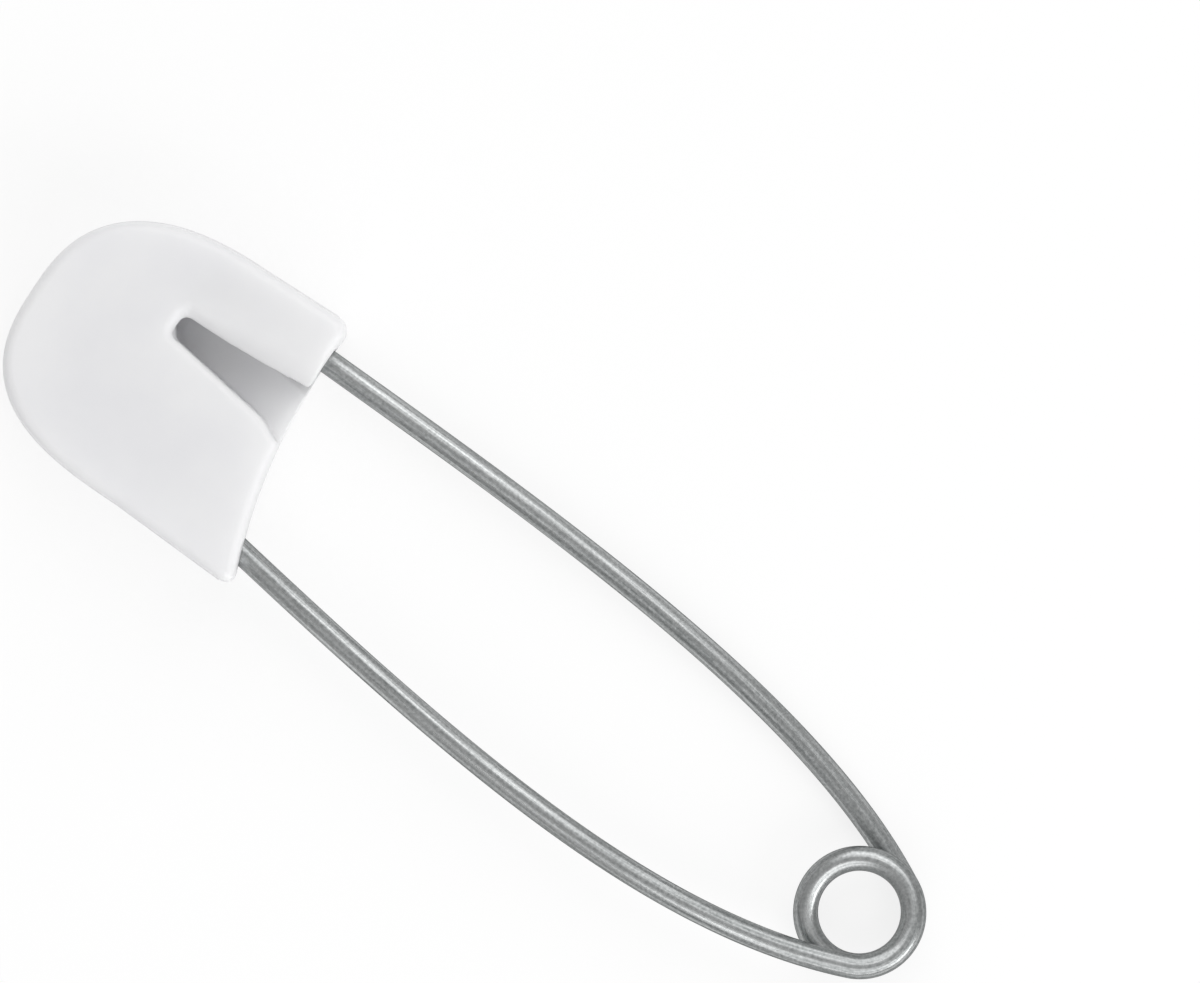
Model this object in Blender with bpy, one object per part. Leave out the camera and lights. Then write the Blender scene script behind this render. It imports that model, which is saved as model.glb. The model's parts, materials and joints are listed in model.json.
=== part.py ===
"""A nappy pin: a safety pin with one sprung wire and a broad white plastic cap.

The wire's fixed arm is held in the cap. It winds into a coil, which is the spring, and
runs back as the pin arm, whose ground point shuts behind a hood in the cap. To open it,
the pin arm is pressed in and lifted out through the slot beside the hood.

Cap coordinates, used while the sizes are worked out: X runs from the cap's round end
towards the coil along the cap's centre line, Y towards the pin arm's side, and Z up from
the cap's flat back. The finished model's origin is under the middle of its box.
"""

import math

import bmesh
import bpy
from mathutils import Vector

MM = 0.001

# Wire
WIRE_DIAMETER = 1.25 * MM
WIRE_CUT = 0.1 * MM
WIRE_BEVEL_RESOLUTION = 4
WIRE_RADIUS = WIRE_DIAMETER / 2

# Coil
COIL_MEAN_RADIUS = 2.7 * MM
COIL_DROP = 2.4 * MM
COIL_LEAD_SHARE = 0.08
COIL_POINTS_PER_TURN = 24
FIXED_JOIN_DEGREES = -68.0
PIN_JOIN_DEGREES = 61.0
TURN_DEGREES = 360.0
RIGHT_ANGLE_DEGREES = 90.0

# Cap, outside
CAP_LENGTH = 15.3 * MM
CAP_MOUTH_WIDTH = 14.3 * MM
CAP_BODY_WIDTH = 14.1 * MM
CAP_ROUND_LENGTH = 9.6 * MM
CAP_ROUND_POWER = 2.45
CAP_ROUND_STEPS = 10
CAP_THICKNESS = 6.0 * MM
CAP_EDGE_RADIUS = 0.5 * MM
CAP_EDGE_STEPS = 3
SHARP_EDGE_DEGREES = 40.0
MOUTH_SLANT_DEGREES = 9.5
MOUTH_HOLLOW = 0.68 * MM
MOUTH_STEPS = 8

# Cap, inside
BACK_WALL = 0.9 * MM
FRONT_WALL = 0.8 * MM
SEAT_CLEARANCE = 0.125 * MM
SOCKET_CLEARANCE = 0.06 * MM
POCKET_DEPTH = 7.4 * MM
SLOT_DEPTH = 7.1 * MM
SLOT_CHAMFER = 0.35 * MM
SLOT_END_STEPS = 6
HOOD_REACH_AT_MOUTH = 1.2 * MM
HOOD_REACH_AT_END = 2.2 * MM
SLOT_WIDTH_AT_MOUTH = 3.1 * MM
SLOT_WIDTH_AT_END = 1.25 * MM
CUT_OVERRUN = 2.0 * MM

# Arms
COIL_TO_CAP_END = 51.8 * MM
COIL_SIDE_OFFSET = 3.0 * MM
ARM_INSET = 2.0 * MM
ARM_HANDLE_AT_CAP = 14.8 * MM
ARM_HANDLE_AT_COIL = 10.0 * MM
ARM_STEPS = 26
PIN_ARM_DEGREES = -1.8
FIXED_ARM_DEGREES = -9.5
POINT_DEPTH = 5.8 * MM
POINT_TIP_DIAMETER = 0.14 * MM
POINT_STEPS = 8
HOOK_BEND_RADIUS = 1.9 * MM
HOOK_DEPTH = 6.0 * MM
HOOK_LEG = 1.2 * MM
HOOK_DEGREES = 80.0
HOOK_STEPS = 8

# Release hinge: the pin arm turns about the coil, in towards the fixed arm and up
RELEASE_INWARD_DEGREES = 34.6

# Places that follow from the sizes above
CAP_HALF_WIDTH = CAP_MOUTH_WIDTH / 2
POCKET_TOP = CAP_THICKNESS - FRONT_WALL
PIN_SEAT_HEIGHT = BACK_WALL + SEAT_CLEARANCE + WIRE_RADIUS
FIXED_ARM_HEIGHT = WIRE_RADIUS + COIL_DROP
COIL_OUTER_RADIUS = COIL_MEAN_RADIUS + WIRE_RADIUS
COIL_CENTRE = Vector((COIL_TO_CAP_END, -COIL_SIDE_OFFSET, 0))


def unit(degrees):
    """The flat direction at this angle from +X."""
    turn = math.radians(degrees)
    return Vector((math.cos(turn), math.sin(turn), 0))


def mouth_x(y):
    """Where the straight line across the cap's mouth stands at this Y."""
    return CAP_LENGTH - y * math.tan(math.radians(MOUTH_SLANT_DEGREES))


def cubic(start, first, second, end, steps):
    """Points along a cubic curve with these two handles."""
    points = []
    for step in range(steps + 1):
        t = step / steps
        near, far = 1 - t, t
        points.append(
            near**3 * start
            + 3 * near**2 * far * first
            + 3 * near * far**2 * second
            + far**3 * end
        )
    return points


def smooth(share):
    """A share from 0 to 1, eased at both ends."""
    return share * share * (3 - 2 * share)


def coil_height(turned):
    """The wire's height when this many degrees of the coil are wound, easing at both ends."""
    whole = coil_degrees()
    lead = COIL_LEAD_SHARE * whole
    steady = whole - lead
    if turned < lead:
        fallen = turned**2 / (2 * lead)
    elif turned > whole - lead:
        fallen = steady - (whole - turned) ** 2 / (2 * lead)
    else:
        fallen = turned - lead / 2
    return FIXED_ARM_HEIGHT - COIL_DROP * fallen / steady


def coil_degrees():
    """How far the wire winds from the fixed arm to the pin arm."""
    return TURN_DEGREES + PIN_JOIN_DEGREES - FIXED_JOIN_DEGREES


def coil_point(turned):
    """A point on the coil's centre line."""
    ring = COIL_CENTRE + unit(FIXED_JOIN_DEGREES + turned) * COIL_MEAN_RADIUS
    return Vector((ring.x, ring.y, coil_height(turned)))


def coil_points():
    """The whole coil as one line, which stops short of each arm by half a cut."""
    cut = math.degrees(WIRE_CUT / 2 / COIL_MEAN_RADIUS)
    whole = coil_degrees() - 2 * cut
    steps = math.ceil(whole / TURN_DEGREES * COIL_POINTS_PER_TURN)
    return [coil_point(cut + whole * step / steps) for step in range(steps + 1)]


def arm_curve(entry, degrees, join_degrees, side, heights):
    """An arm's centre line from the cap's mouth to half a cut before the coil.

    side is +1 where the arm meets the coil's upper side, and -1 at its lower side.
    """
    tangent = unit(join_degrees - side * RIGHT_ANGLE_DEGREES)
    join = COIL_CENTRE + unit(join_degrees) * COIL_MEAN_RADIUS - tangent * WIRE_CUT / 2
    flat = cubic(
        entry,
        entry + unit(degrees) * ARM_HANDLE_AT_CAP,
        join - tangent * ARM_HANDLE_AT_COIL,
        join,
        ARM_STEPS,
    )
    low, high = heights
    return [
        Vector((point.x, point.y, low + (high - low) * smooth(step / ARM_STEPS)))
        for step, point in enumerate(flat)
    ]


def pin_entry():
    """Where the pin arm's centre line crosses the line of the mouth, on the flat."""
    y = CAP_HALF_WIDTH - ARM_INSET
    return Vector((mouth_x(y), y, 0))


def fixed_entry():
    """Where the fixed arm's centre line crosses the line of the mouth, on the flat."""
    y = ARM_INSET - CAP_HALF_WIDTH
    return Vector((mouth_x(y), y, 0))


def seat(depth, inward, height=0.0):
    """A place this deep in the cap from its mouth, and this far in from the pin arm's line."""
    along = unit(PIN_ARM_DEGREES)
    across = Vector((along.y, -along.x, 0))
    place = pin_entry() - along * depth + across * inward
    return Vector((place.x, place.y, height))


def pin_arm_line():
    """The pin arm's points and their radius shares, from the ground point to the coil."""
    points, shares = [], []
    tip_share = POINT_TIP_DIAMETER / WIRE_DIAMETER
    for step in range(POINT_STEPS):
        share = step / POINT_STEPS
        points.append(seat(POINT_DEPTH * (1 - share), 0, PIN_SEAT_HEIGHT))
        shares.append(tip_share + (1 - tip_share) * share)
    arm = arm_curve(
        pin_entry(),
        PIN_ARM_DEGREES,
        PIN_JOIN_DEGREES,
        1,
        (PIN_SEAT_HEIGHT, coil_height(coil_degrees())),
    )
    return points + arm, shares + [1.0] * len(arm)


def hook_points():
    """The fixed arm inside the cap, from its bent end to the mouth."""
    entry, along = fixed_entry(), unit(FIXED_ARM_DEGREES)
    across = Vector((-along.y, along.x, 0))
    bend_start = entry - along * HOOK_DEPTH
    centre = bend_start + across * HOOK_BEND_RADIUS
    bend = []
    for step in range(HOOK_STEPS + 1):
        turn = math.radians(HOOK_DEGREES * step / HOOK_STEPS)
        spoke = -across * math.cos(turn) - along * math.sin(turn)
        bend.append(centre + spoke * HOOK_BEND_RADIUS)
    last = math.radians(HOOK_DEGREES)
    leg = across * math.sin(last) - along * math.cos(last)
    line = [bend[-1] + leg * HOOK_LEG] + bend[::-1]
    return [Vector((point.x, point.y, FIXED_ARM_HEIGHT)) for point in line]


def fixed_arm_line():
    """The fixed arm's points, from its bent end in the cap to the coil."""
    level = (FIXED_ARM_HEIGHT, FIXED_ARM_HEIGHT)
    arm = arm_curve(fixed_entry(), FIXED_ARM_DEGREES, FIXED_JOIN_DEGREES, -1, level)
    return hook_points() + arm


def model_origin():
    """The middle of the model's box on the flat, in cap coordinates."""
    x = (COIL_TO_CAP_END + COIL_OUTER_RADIUS) / 2
    lowest = min(point.y for point in fixed_arm_line()) - WIRE_RADIUS
    return Vector((x, (CAP_HALF_WIDTH + lowest) / 2, 0))


def cap_outline():
    """The cap's outline: one side, the round end, the other side and the hollow mouth."""
    half_body = CAP_BODY_WIDTH / 2
    side = []
    for step in range(CAP_ROUND_STEPS + 1):
        turn = math.pi / 2 * step / CAP_ROUND_STEPS
        x = CAP_ROUND_LENGTH * (1 - math.cos(turn) ** (2 / CAP_ROUND_POWER))
        y = half_body * math.sin(turn) ** (2 / CAP_ROUND_POWER)
        side.append((x, y))
    upper = (mouth_x(CAP_HALF_WIDTH), CAP_HALF_WIDTH)
    lower = (mouth_x(-CAP_HALF_WIDTH), -CAP_HALF_WIDTH)
    outline = [upper]
    outline += side[:0:-1]
    outline += [(x, -y) for x, y in side]
    outline.append(lower)
    chord = Vector(upper) - Vector(lower)
    inward = Vector((-chord.y, chord.x)).normalized()
    for step in range(1, MOUTH_STEPS):
        share = step / MOUTH_STEPS
        bow = 4 * MOUTH_HOLLOW * share * (1 - share)
        outline.append(tuple(Vector(lower) + chord * share + inward * bow))
    return [Vector((x, y, 0)) for x, y in outline]


def slot_line(depth, at_mouth, at_end):
    """How far a straight edge of the slot stands from the pin arm's line at this depth."""
    return at_mouth + (at_end - at_mouth) * depth / SLOT_DEPTH


def hood_edge(depth):
    """The hood's free edge, which is the slot's side next to the pin arm."""
    return slot_line(depth, HOOD_REACH_AT_MOUTH, HOOD_REACH_AT_END)


def lip_edge(depth):
    """The slot's other side."""
    mouth = HOOD_REACH_AT_MOUTH + SLOT_WIDTH_AT_MOUTH
    end = HOOD_REACH_AT_END + SLOT_WIDTH_AT_END
    return slot_line(depth, mouth, end)


def slot_outline(height, spread):
    """The slot's outline at this height, spread outwards at its lip and round its end."""
    radius = SLOT_WIDTH_AT_END / 2
    middle_depth = SLOT_DEPTH - radius
    middle = (hood_edge(middle_depth) + lip_edge(middle_depth)) / 2
    points = [seat(-CUT_OVERRUN, hood_edge(-CUT_OVERRUN), height)]
    for step in range(SLOT_END_STEPS + 1):
        turn = math.pi * step / SLOT_END_STEPS
        reach = radius + spread * math.sin(turn / 2)
        depth = middle_depth + reach * math.sin(turn)
        points.append(seat(depth, middle - reach * math.cos(turn), height))
    points.append(seat(-CUT_OVERRUN, lip_edge(-CUT_OVERRUN) + spread, height))
    return points


def pocket_outline(height):
    """The pocket behind the hood and the slot, where the ground point lies."""
    wall = -(WIRE_RADIUS + SEAT_CLEARANCE)
    return [
        seat(-CUT_OVERRUN, wall, height),
        seat(POCKET_DEPTH - WIRE_RADIUS, wall, height),
        seat(POCKET_DEPTH, wall + WIRE_RADIUS, height),
        seat(POCKET_DEPTH, lip_edge(POCKET_DEPTH) - WIRE_RADIUS, height),
        seat(POCKET_DEPTH - WIRE_RADIUS, lip_edge(POCKET_DEPTH - WIRE_RADIUS), height),
        seat(-CUT_OVERRUN, lip_edge(-CUT_OVERRUN), height),
    ]


def stack(name, layers):
    """A closed solid through outlines with as many points each, the lowest first."""
    origin = model_origin()
    mesh = bpy.data.meshes.new(name)
    shape = bmesh.new()
    rings = [[shape.verts.new(point - origin) for point in layer] for layer in layers]
    shape.faces.new(rings[0][::-1])
    shape.faces.new(rings[-1])
    for low, high in zip(rings, rings[1:]):
        for i, vertex in enumerate(low):
            after = (i + 1) % len(low)
            shape.faces.new((vertex, low[after], high[after], high[i]))
    bmesh.ops.recalc_face_normals(shape, faces=shape.faces)
    shape.to_mesh(mesh)
    shape.free()
    piece = bpy.data.objects.new(name, mesh)
    bpy.context.collection.objects.link(piece)
    return piece


def wire(name, points, radius=WIRE_RADIUS, shares=None, pivot=None):
    """A round wire along these points, thinner where a share is under 1."""
    pivot = pivot or Vector((0, 0, 0))
    curve = bpy.data.curves.new(name, "CURVE")
    curve.dimensions = "3D"
    curve.bevel_depth = radius
    curve.bevel_resolution = WIRE_BEVEL_RESOLUTION
    curve.use_fill_caps = True
    line = curve.splines.new("POLY")
    line.points.add(len(points) - 1)
    origin = model_origin()
    for i, point in enumerate(points):
        line.points[i].co = (*(point - origin - pivot), 1)
        line.points[i].radius = shares[i] if shares else 1.0
    piece = bpy.data.objects.new(name, curve)
    piece.location = pivot
    bpy.context.collection.objects.link(piece)
    return piece


def solid_wire(name, points, radius):
    """The same round wire as a mesh, which can cut another piece."""
    guide = wire(name, points, radius)
    bpy.context.view_layer.update()
    graph = bpy.context.evaluated_depsgraph_get()
    mesh = bpy.data.meshes.new_from_object(guide.evaluated_get(graph))
    curve = guide.data
    bpy.data.objects.remove(guide)
    bpy.data.curves.remove(curve)
    piece = bpy.data.objects.new(name, mesh)
    bpy.context.collection.objects.link(piece)
    return piece


def finish(name, colour, roughness, metallic):
    """A plain material."""
    material = bpy.data.materials.new(name)
    material.use_nodes = True
    shader = material.node_tree.nodes["Principled BSDF"]
    shader.inputs["Base Color"].default_value = (*colour, 1)
    shader.inputs["Roughness"].default_value = roughness
    shader.inputs["Metallic"].default_value = metallic
    return material


def cut(piece, cutter):
    """Takes a cutter's shape out of a piece."""
    cutter.hide_render = True
    cutter.display_type = "WIRE"
    step = piece.modifiers.new(f"cut {cutter.name}", "BOOLEAN")
    step.operation = "DIFFERENCE"
    step.solver = "EXACT"
    step.object = cutter


def layer_at(points, height):
    """The same outline at another height."""
    return [Vector((point.x, point.y, height)) for point in points]


def make_cap():
    """The moulded cap, with its rounded edges, the pocket, the slot and the fixed arm's socket."""
    outline = cap_outline()
    cap = stack("cap", [outline, layer_at(outline, CAP_THICKNESS)])
    rounding = cap.modifiers.new("rounded edges", "BEVEL")
    rounding.width = CAP_EDGE_RADIUS
    rounding.segments = CAP_EDGE_STEPS
    rounding.limit_method = "ANGLE"
    rounding.angle_limit = math.radians(SHARP_EDGE_DEGREES)
    pocket = stack("pocket_cutter", [pocket_outline(BACK_WALL), pocket_outline(POCKET_TOP)])
    cut(cap, pocket)
    chamfer_foot = CAP_THICKNESS - SLOT_CHAMFER
    over_face = CAP_THICKNESS + CUT_OVERRUN
    slot = stack(
        "slot_cutter",
        [
            slot_outline(PIN_SEAT_HEIGHT, 0),
            slot_outline(chamfer_foot, 0),
            slot_outline(over_face, SLOT_CHAMFER + CUT_OVERRUN),
        ],
    )
    cut(cap, slot)
    along = unit(FIXED_ARM_DEGREES)
    socket_line = hook_points()
    leg = (socket_line[0] - socket_line[1]).normalized()
    socket_line[0] = socket_line[0] + leg * SOCKET_CLEARANCE
    socket_line.append(socket_line[-1] + along * (HOOK_DEPTH + CUT_OVERRUN))
    cut(cap, solid_wire("socket_cutter", socket_line, WIRE_RADIUS + SOCKET_CLEARANCE))
    cap.data.materials.append(finish("white_plastic", (0.78, 0.78, 0.79), 0.4, 0.0))
    return cap


def least_gap(points):
    """The least clear gap between stretches of a wire that lie most of a turn apart."""
    apart = COIL_POINTS_PER_TURN * 3 // 4
    reach = min(
        (points[i] - points[j]).length
        for i in range(len(points))
        for j in range(i + apart, len(points))
    )
    return reach - WIRE_DIAMETER


def make_wires():
    """The wire in three stretches, of which the pin arm turns about the coil."""
    steel = finish("drawn_steel", (0.55, 0.56, 0.57), 0.3, 1.0)
    turns = coil_points()
    fixed = wire("fixed_arm", fixed_arm_line())
    coil = wire("spring_coil", turns)
    points, shares = pin_arm_line()
    hinge = COIL_CENTRE - model_origin()
    hinge.z = coil_height(coil_degrees())
    arm = wire("pin_arm", points, shares=shares, pivot=hinge)
    for piece in (fixed, coil, arm):
        piece.data.materials.append(steel)
    inward = math.radians(RELEASE_INWARD_DEGREES)
    axis = Vector((0, math.cos(inward), math.sin(inward)))
    print("release hinge at", [round(v / MM, 4) for v in hinge], "mm")
    print("release axis", [round(v, 5) for v in axis])
    whole = fixed_arm_line() + turns + points[::-1]
    print("least gap of the wire to itself", round(least_gap(whole) / MM, 3), "mm")


def main():
    """Builds the pin in an empty scene."""
    for piece in list(bpy.data.objects):
        bpy.data.objects.remove(piece, do_unlink=True)
    make_cap()
    make_wires()
    origin = model_origin()
    print("origin in cap coordinates", [round(v / MM, 4) for v in origin], "mm")


main()
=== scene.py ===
"""Dresses a nappy pin, which is a safety pin with a broad white plastic cap.

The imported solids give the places. The wire is drawn anew as one smooth run that carries
the marks of its drawing die, and the cap gets the soft edges of a moulding.

Cap coordinates are used while places are worked out: X runs from the cap's round end
towards the coil along the cap's centre line, Y towards the pin arm's side, and Z up from
the cap's flat back.
"""

import json
import logging
import math
from dataclasses import dataclass, field
from enum import Enum

import bmesh
import bpy
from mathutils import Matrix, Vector


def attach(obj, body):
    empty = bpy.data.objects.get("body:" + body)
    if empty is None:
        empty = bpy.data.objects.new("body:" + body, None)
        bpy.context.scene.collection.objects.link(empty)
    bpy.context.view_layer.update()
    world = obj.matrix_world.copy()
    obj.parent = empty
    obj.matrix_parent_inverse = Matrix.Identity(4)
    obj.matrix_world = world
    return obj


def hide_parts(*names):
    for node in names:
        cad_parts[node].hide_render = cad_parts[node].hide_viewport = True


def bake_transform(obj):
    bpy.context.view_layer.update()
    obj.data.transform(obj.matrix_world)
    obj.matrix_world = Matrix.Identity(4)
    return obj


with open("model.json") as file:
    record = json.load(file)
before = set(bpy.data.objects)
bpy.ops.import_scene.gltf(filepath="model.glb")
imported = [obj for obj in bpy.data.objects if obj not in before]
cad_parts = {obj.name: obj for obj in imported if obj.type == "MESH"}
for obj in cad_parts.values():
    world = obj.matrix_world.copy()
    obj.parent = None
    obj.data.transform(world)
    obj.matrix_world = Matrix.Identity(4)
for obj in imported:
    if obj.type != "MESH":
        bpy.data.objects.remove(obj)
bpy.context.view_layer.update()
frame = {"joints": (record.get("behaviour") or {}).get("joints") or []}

LOG = logging.getLogger("nappy pin")

MM = 0.001
FULL_TURN = 2 * math.pi
QUARTER_TURN = FULL_TURN / 4
HALF_TURN = FULL_TURN / 2

# The corners of each face on a wire's side.
QUAD = 4

# A pattern's two ends and the values that they are given, as Map Range names them.
SPREAD = ("From Min", "From Max", "To Min", "To Max")

# The tiny step that squares each end of a drawn wire to its curve.
END_STEP = 0.01 * MM

# The attributes that the wire's nodes hand on, of which the finished mesh keeps the grain.
GRAIN = "grain"
ALONG = "along"
AROUND = "around"
THICKNESS = "thickness_share"

Colour = tuple[float, float, float, float]


class Body(Enum):
    """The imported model's bodies."""

    FRAME = "frame"
    PIN = "pin"


class Slot(Enum):
    """The record's material slots."""

    PLASTIC = "white_plastic"
    STEEL = "drawn_steel"


def linear(hex_colour: str) -> Colour:
    """Turns an sRGB hex colour into the linear colour that a shader takes.

    Args:
        hex_colour: a colour such as "#E5E5E6".

    Returns:
        Red, green, blue and an alpha of 1.
    """
    # The bare numbers are those of the sRGB standard's own curve.
    tones = [int(hex_colour[start : start + 2], 16) / 255 for start in (1, 3, 5)]
    red, green, blue = (
        tone / 12.92 if tone <= 0.04045 else ((tone + 0.055) / 1.055) ** 2.4 for tone in tones
    )
    return (red, green, blue, 1.0)


def add(
    tree: bpy.types.NodeTree, kind: str, inputs: dict | None = None, **settings: object
) -> bpy.types.Node:
    """Adds a node to a tree, with its settings, values and links.

    Args:
        tree: the tree that gets the node.
        kind: the node's type, as Blender names it.
        inputs: a value or another node's output for each input, by name or number.
        settings: the node's own properties.

    Returns:
        The new node.
    """
    node = tree.nodes.new(kind)
    for name, value in settings.items():
        setattr(node, name, value)
    for key, value in (inputs or {}).items():
        if isinstance(value, bpy.types.NodeSocket):
            tree.links.new(value, node.inputs[key])
        else:
            node.inputs[key].default_value = value
    return node


def blank_material(name: str) -> bpy.types.Material:
    """Makes a material whose node tree is still empty.

    Args:
        name: the material's name.

    Returns:
        The material.
    """
    material = bpy.data.materials.new(name)
    material.use_nodes = True
    material.node_tree.nodes.clear()
    return material


def put(name: str, data: bpy.types.ID) -> bpy.types.Object:
    """Makes an object and puts it in the scene.

    Args:
        name: the object's name.
        data: its mesh, lamp or camera.

    Returns:
        The new object, at the origin.
    """
    item = bpy.data.objects.new(name, data)
    bpy.context.scene.collection.objects.link(item)
    return item


@dataclass(frozen=True)
class Finish:
    """What the object's own finishes share: tone, gloss and relief that follow a pattern."""

    name: str
    dark: str
    light: str
    tone_range: tuple[float, float]
    roughness: tuple[float, float]
    roughness_range: tuple[float, float]
    relief_depth: float
    relief_strength: float

    def dress(
        self,
        tree: bpy.types.NodeTree,
        tone: bpy.types.NodeSocket,
        gloss: bpy.types.NodeSocket,
        relief: bpy.types.NodeSocket,
        values: dict[str, object],
    ) -> None:
        """Adds the shader, which follows these patterns, and the material's output.

        Args:
            tree: the material's node tree.
            tone: the pattern that the colour follows, from dark to light.
            gloss: the pattern that the roughness follows.
            relief: the pattern that stands out from the surface.
            values: the shader's other values, by name.
        """
        shade = add(tree, "ShaderNodeValToRGB", {"Fac": tone})
        stops = zip(shade.color_ramp.elements, self.tone_range, (self.dark, self.light))
        for stop, place, colour in stops:
            stop.position, stop.color = place, linear(colour)
        spread = dict(zip(SPREAD, (*self.roughness_range, *self.roughness)))
        sheen = add(tree, "ShaderNodeMapRange", {"Value": gloss, **spread})
        height = {"Strength": self.relief_strength, "Distance": self.relief_depth}
        bump = add(tree, "ShaderNodeBump", {"Height": relief, **height})
        followed = {
            "Base Color": shade.outputs["Color"],
            "Roughness": sheen.outputs["Result"],
            "Normal": bump.outputs["Normal"],
        }
        shader = add(tree, "ShaderNodeBsdfPrincipled", {**followed, **values})
        add(tree, "ShaderNodeOutputMaterial", {"Surface": shader.outputs["BSDF"]})


@dataclass(frozen=True)
class MouldedPlastic(Finish):
    """Polypropylene from a spark-eroded steel mould."""

    # It gives the eye an even milky white, with a broad soft sheen and a faint glow from inside.
    # The real grain is about 0.03 mm, too fine to show, so it is drawn five times as coarse.
    name: str = "moulded polypropylene"
    dark: str = "#E4E4E6"
    light: str = "#E8E8E9"
    tone_range: tuple[float, float] = (0.3, 0.65)
    roughness: tuple[float, float] = (0.34, 0.46)
    roughness_range: tuple[float, float] = (0.3, 0.7)
    relief_depth: float = 0.004 * MM
    relief_strength: float = 0.5
    cloud_size: float = 5.0 * MM
    cloud_detail: float = 3.0
    cloud_harshness: float = 0.5
    grain_size: float = 0.16 * MM
    grain_detail: float = 2.0
    grain_harshness: float = 0.55
    ior: float = 1.49
    glow_share: float = 0.6
    glow_reach: float = 2.2 * MM

    def material(self) -> bpy.types.Material:
        """Builds the material.

        Returns:
            A material whose tone drifts over some millimetres, as a moulding's does.
        """
        material = blank_material(self.name)
        tree = material.node_tree
        where = add(tree, "ShaderNodeTexCoord").outputs["Object"]
        noises = []
        for size, detail, harshness in (
            (self.cloud_size, self.cloud_detail, self.cloud_harshness),
            (self.grain_size, self.grain_detail, self.grain_harshness),
        ):
            inputs = {"Vector": where, "Scale": 1 / size, "Detail": detail, "Roughness": harshness}
            noises.append(add(tree, "ShaderNodeTexNoise", inputs).outputs["Fac"])
        cloud, grain = noises
        values = {
            "IOR": self.ior,
            "Subsurface Weight": self.glow_share,
            "Subsurface Radius": (1.0, 1.0, 1.0),
            "Subsurface Scale": self.glow_reach,
        }
        self.dress(tree, cloud, cloud, grain, values)
        return material


def moulded_bead() -> MouldedPlastic:
    """The cap's own plastic where it is too thin to glow from inside."""
    return MouldedPlastic(name="moulded polypropylene bead", glow_share=0.0)


@dataclass(frozen=True)
class DrawnSteel(Finish):
    """Spring steel wire, drawn through a die and nickel plated."""

    # It gives the eye a grey satin metal, with fine lines and soft bands that follow the wire.
    # The die's lines are about 0.02 mm wide, too fine to show, so they are drawn six times as wide.
    name: str = "drawn spring steel"
    dark: str = "#808383"
    light: str = "#C8CACA"
    tone_range: tuple[float, float] = (0.36, 0.64)
    roughness: tuple[float, float] = (0.44, 0.26)
    roughness_range: tuple[float, float] = (0.35, 0.65)
    relief_depth: float = 0.006 * MM
    relief_strength: float = 0.6
    line_width: float = 0.13 * MM
    line_length: float = 7.0 * MM
    line_detail: float = 2.0
    band_width: float = 0.45 * MM
    band_length: float = 30.0 * MM
    band_share: float = 0.4
    pit_size: float = 0.14 * MM
    pit_share: float = 0.27
    soft_detail: float = 1.0
    edge_tone: str = "#9A9A9A"

    def material(self) -> bpy.types.Material:
        """Builds the material, which reads the wire's own attribute for its lines.

        Returns:
            A metal whose tone, gloss and relief run in lines along the wire.
        """
        material = blank_material(self.name)
        tree = material.node_tree
        run = add(tree, "ShaderNodeAttribute", attribute_name=GRAIN).outputs["Vector"]
        noises = []
        for width, length, detail in (
            (self.line_width, self.line_length, self.line_detail),
            (self.band_width, self.band_length, self.soft_detail),
            (self.pit_size, self.pit_size, self.soft_detail),
        ):
            scale = (1 / width, 1 / width, 1 / length)
            stretched = add(tree, "ShaderNodeVectorMath", {0: run, 1: scale}, operation="MULTIPLY")
            inputs = {"Vector": stretched.outputs["Vector"], "Scale": 1.0, "Detail": detail}
            noises.append(add(tree, "ShaderNodeTexNoise", inputs).outputs["Fac"])
        lines, *others = noises
        marks = lines
        for share, other in zip((self.band_share, self.pit_share), others):
            mixed = {"Factor": share, "A": marks, "B": other}
            marks = add(tree, "ShaderNodeMix", mixed, data_type="FLOAT").outputs["Result"]
        values = {"Metallic": 1.0, "Specular Tint": linear(self.edge_tone)}
        self.dress(tree, marks, lines, marks, values)
        return material


def ground_steel() -> DrawnSteel:
    """The wire's own steel where its point is ground.

    Returns:
        A finish that gives the eye a brighter metal, with short fine marks for the long lines.
    """
    return DrawnSteel(
        name="ground steel point",
        dark="#8E9191",
        light="#D2D4D4",
        line_width=0.07 * MM,
        line_length=0.8 * MM,
        pit_share=0.1,
        roughness=(0.34, 0.2),
    )


@dataclass(frozen=True)
class Paper:
    """Matt white background paper."""

    # It gives the eye plain white, on which only the object's soft shadow shows.
    name: str = "white paper"
    colour: str = "#FAFAFA"
    glow: str = "#FFFFFF"
    glow_share: float = 0.8

    def material(self) -> bpy.types.Material:
        """Builds the material, which stays white behind the object and keeps its shadow.

        Returns:
            A matt material, part of which glows white to the camera and to reflections.
        """
        material = blank_material(self.name)
        tree = material.node_tree
        matt = add(tree, "ShaderNodeBsdfDiffuse", {"Color": linear(self.colour)})
        white = add(tree, "ShaderNodeEmission", {"Color": linear(self.glow), "Strength": 1.0})
        path = add(tree, "ShaderNodeLightPath").outputs
        seen = path["Is Camera Ray"]
        for ray in ("Is Glossy Ray", "Is Transmission Ray"):
            either = add(tree, "ShaderNodeMath", {0: seen, 1: path[ray]}, operation="MAXIMUM")
            seen = either.outputs[0]
        share = add(tree, "ShaderNodeMath", {0: seen, 1: self.glow_share}, operation="MULTIPLY")
        mixed = add(
            tree,
            "ShaderNodeMixShader",
            {0: share.outputs[0], 1: matt.outputs["BSDF"], 2: white.outputs["Emission"]},
        )
        add(tree, "ShaderNodeOutputMaterial", {"Surface": mixed.outputs["Shader"]})
        return material


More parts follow.
